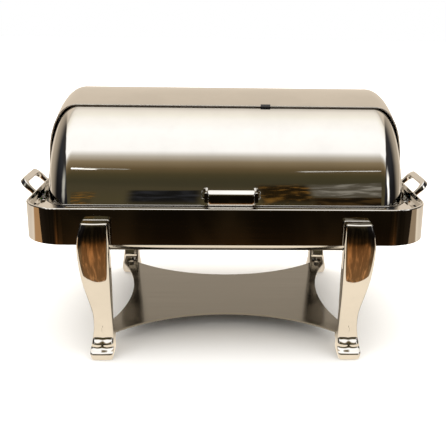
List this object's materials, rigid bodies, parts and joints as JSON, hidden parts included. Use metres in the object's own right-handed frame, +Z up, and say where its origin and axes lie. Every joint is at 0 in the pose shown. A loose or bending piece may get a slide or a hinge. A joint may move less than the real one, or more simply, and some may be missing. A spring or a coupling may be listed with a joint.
{
  "type": "roll top chafer",
  "caption": "Rectangular roll top chafer with a fixed rear cover, a front cover that rolls back inside it, a deep skirt, cast legs, a burner shelf and lift-out pans.",
  "frame": {"origin": "on the table, midway between the four feet", "axes": "+X to the right seen from the front, +Y to the back, +Z up"},
  "size_m": [0.7168, 0.5, 0.4143],
  "materials": {
    "cover_steel": "mirror polished stainless steel",
    "band_steel": "mirror polished stainless steel",
    "cast_steel": "polished casting",
    "handle_steel": "polished casting",
    "shelf_steel": "mirror polished plate",
    "pan_steel": "satin drawn stainless steel",
    "deck_steel": "satin sheet",
    "fixing_steel": "plain machined steel",
    "rubber": "matt moulded rubber",
    "spacer_plastic": "turned nylon"
  },
  "bodies": {
    "frame": {"burner_shelf": "shelf_steel", "edge_pad": "rubber", "foot_pad_front_left": "rubber", "foot_pad_front_right": "rubber", "foot_pad_rear_left": "rubber", "foot_pad_rear_right": "rubber", "frame_band": "band_steel", "front_ledge": "band_steel", "hem_stop_left": "rubber", "hem_stop_right": "rubber", "left_side_handle": "handle_steel", "leg_bolts": "fixing_steel", "leg_front_left": "cast_steel", "leg_front_right": "cast_steel", "leg_plate_front_left": "fixing_steel", "leg_plate_front_right": "fixing_steel", "leg_plate_rear_left": "fixing_steel", "leg_plate_rear_right": "fixing_steel", "leg_rear_left": "cast_steel", "leg_rear_right": "cast_steel", "pan_deck": "deck_steel", "pivot_bracket_left": "fixing_steel", "pivot_bracket_right": "fixing_steel", "pivot_pin_left": "fixing_steel", "pivot_pin_right": "fixing_steel", "pivot_retainer_left": "fixing_steel", "pivot_retainer_right": "fixing_steel", "pivot_spacer_left": "spacer_plastic", "pivot_spacer_right": "spacer_plastic", "rear_cover": "cover_steel", "rear_cover_bracket_left": "fixing_steel", "rear_cover_bracket_right": "fixing_steel", "rear_cover_screws": "fixing_steel", "rear_ledge": "band_steel", "right_side_handle": "handle_steel", "shelf_bolts": "fixing_steel", "side_handle_screws": "fixing_steel"},
    "front_cover": {"cover_grip": "handle_steel", "cover_hub_left": "fixing_steel", "cover_hub_right": "fixing_steel", "front_cover": "cover_steel", "grip_post_left": "handle_steel", "grip_post_right": "handle_steel", "grip_screws": "fixing_steel"},
    "water_pan": {"water_pan": "pan_steel"},
    "food_pan": {"food_pan": "pan_steel"}
  },
  "joints": [
    {"name": "front_cover_roll", "type": "hinge", "parent": "frame", "child": "front_cover", "pos_m": [0, 0, 0.2173], "axis": [-1, 0, 0], "range_deg": [0, 44]},
    {"name": "water_pan_lift", "type": "slide", "parent": "frame", "child": "water_pan", "axis": [0, 0, 1], "range_m": [0, 0.015]},
    {"name": "food_pan_lift", "type": "slide", "parent": "water_pan", "child": "food_pan", "axis": [0, 0, 1], "range_m": [0, 0.03]}
  ]
}
